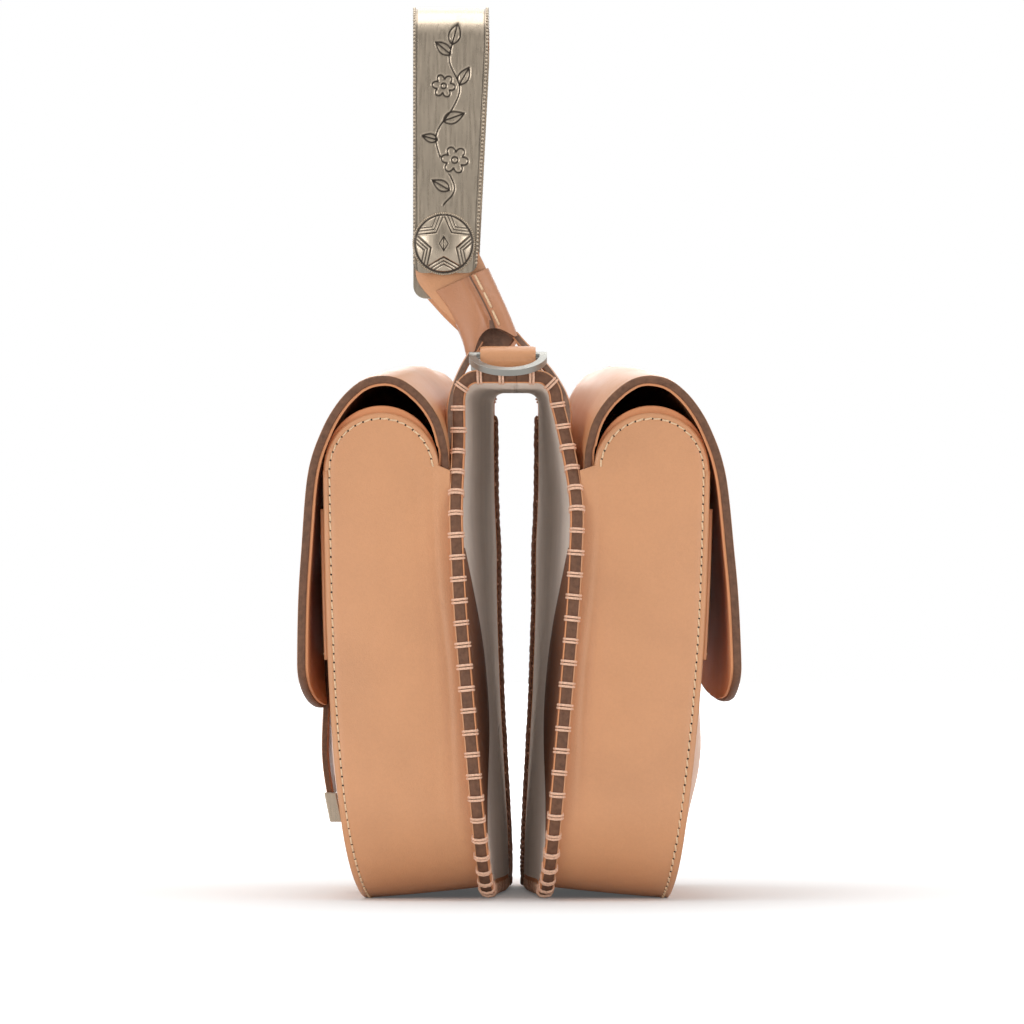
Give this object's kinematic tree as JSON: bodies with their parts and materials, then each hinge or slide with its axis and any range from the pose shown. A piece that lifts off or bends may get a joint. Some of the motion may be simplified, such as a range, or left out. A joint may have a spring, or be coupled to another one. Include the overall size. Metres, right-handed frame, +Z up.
{
  "type": "saddle handbag",
  "caption": "Leather saddle handbag: paired flapped pouches hung from a laced saddle yoke, with a rigid engraved metal handle and strap rings.",
  "frame": {"origin": "on the floor under the middle of the bag", "axes": "+Z up, +X from the front pouch to the rear pouch, +Y from the near end to the far end"},
  "size_m": [0.176, 0.214, 0.356],
  "materials": {
    "tan_leather": "smooth vegetable-tanned leather with painted edges",
    "edge_leather": "thinner tan leather with dark painted edges",
    "grey_suede": "brushed grey suede",
    "black_lining": "black woven lining",
    "zip_metal": "dark nickel",
    "aged_silver": "aged silver plate with dark engraving",
    "satin_nickel": "satin nickel"
  },
  "bodies": {
    "saddle": {"saddle_yoke": "tan_leather", "yoke_lining": "grey_suede", "handle_anchor_near": "tan_leather", "handle_anchor_far": "tan_leather", "d_ring_tab_near": "tan_leather", "d_ring_tab_far": "tan_leather"},
    "handle_tabs": {"handle_tab_near": "tan_leather", "handle_tab_far": "tan_leather", "tab_keeper_near": "tan_leather", "tab_keeper_far": "tan_leather"},
    "handle": {"handle_band": "aged_silver", "back_plate_near": "aged_silver", "back_plate_far": "aged_silver", "concho_near": "aged_silver", "concho_far": "aged_silver", "concho_screws": "aged_silver"},
    "d_ring_near": {"d_ring_near": "satin_nickel"},
    "d_ring_far": {"d_ring_far": "satin_nickel"},
    "front_pouch": {"front_skirt": "tan_leather", "front_skirt_lining": "grey_suede", "front_gusset": "tan_leather", "front_gusset_rims": "edge_leather", "front_panel": "tan_leather", "front_panel_facing": "edge_leather", "front_pouch_lining": "black_lining", "front_zip_tapes": "black_lining", "front_zip_teeth": "zip_metal", "front_flap_crown": "tan_leather", "front_crown_lining": "edge_leather", "front_snap_socket": "zip_metal"},
    "front_flap": {"front_flap": "tan_leather", "front_flap_lining": "edge_leather", "front_snap_stud": "zip_metal", "front_closure_strap": "edge_leather", "front_strap_tip": "aged_silver"},
    "front_zip_slider": {"front_zip_slider": "zip_metal"},
    "rear_pouch": {"rear_skirt": "tan_leather", "rear_skirt_lining": "grey_suede", "rear_gusset": "tan_leather", "rear_gusset_rims": "edge_leather", "rear_panel": "tan_leather", "rear_panel_facing": "edge_leather", "rear_pouch_lining": "black_lining", "rear_zip_tapes": "black_lining", "rear_zip_teeth": "zip_metal", "rear_flap_crown": "tan_leather", "rear_crown_lining": "edge_leather", "rear_snap_socket": "zip_metal"},
    "rear_flap": {"rear_flap": "tan_leather", "rear_flap_lining": "edge_leather", "rear_snap_stud": "zip_metal"},
    "rear_zip_slider": {"rear_zip_slider": "zip_metal"}
  },
  "joints": [
    {"name": "front_pouch_swing", "type": "hinge", "parent": "saddle", "child": "front_pouch", "pos_m": [-0.01746, 0.00116, 0.184], "axis": [0.0663, 0.9978, 0], "range_deg": [0, 10]},
    {"name": "rear_pouch_swing", "type": "hinge", "parent": "saddle", "child": "rear_pouch", "pos_m": [0.01746, 0.00116, 0.184], "axis": [0.0663, -0.9978, 0], "range_deg": [0, 10]},
    {"name": "front_flap_lift", "type": "hinge", "parent": "front_pouch", "child": "front_flap", "pos_m": [-0.04832, 0.00321, 0.209], "axis": [0.0663, 0.9978, 0], "range_deg": [0, 90]},
    {"name": "rear_flap_lift", "type": "hinge", "parent": "rear_pouch", "child": "rear_flap", "pos_m": [0.04832, 0.00321, 0.209], "axis": [0.0663, -0.9978, 0], "range_deg": [0, 90]},
    {"name": "front_zip_slide", "type": "slide", "parent": "front_pouch", "child": "front_zip_slider", "axis": [0.0663, 0.9978, 0], "range_m": [0, 0.145]},
    {"name": "rear_zip_slide", "type": "slide", "parent": "rear_pouch", "child": "rear_zip_slider", "axis": [-0.0663, 0.9978, 0], "range_m": [0, 0.145]},
    {"name": "handle_tab_lean", "type": "hinge", "parent": "saddle", "child": "handle_tabs", "pos_m": [-0.004, 0, 0.226], "axis": [0, 1, 0], "range_deg": [-8, 45]},
    {"name": "handle_swing", "type": "hinge", "parent": "handle_tabs", "child": "handle", "pos_m": [-0.02895, 0, 0.26163], "axis": [0, 1, 0], "range_deg": [-20, 15]},
    {"name": "d_ring_near_swing", "type": "hinge", "parent": "saddle", "child": "d_ring_near", "pos_m": [0, -0.091, 0.217], "axis": [1, 0, 0], "range_deg": [-70, 55]},
    {"name": "d_ring_far_swing", "type": "hinge", "parent": "saddle", "child": "d_ring_far", "pos_m": [0, 0.091, 0.217], "axis": [-1, 0, 0], "range_deg": [-70, 55]}
  ]
}
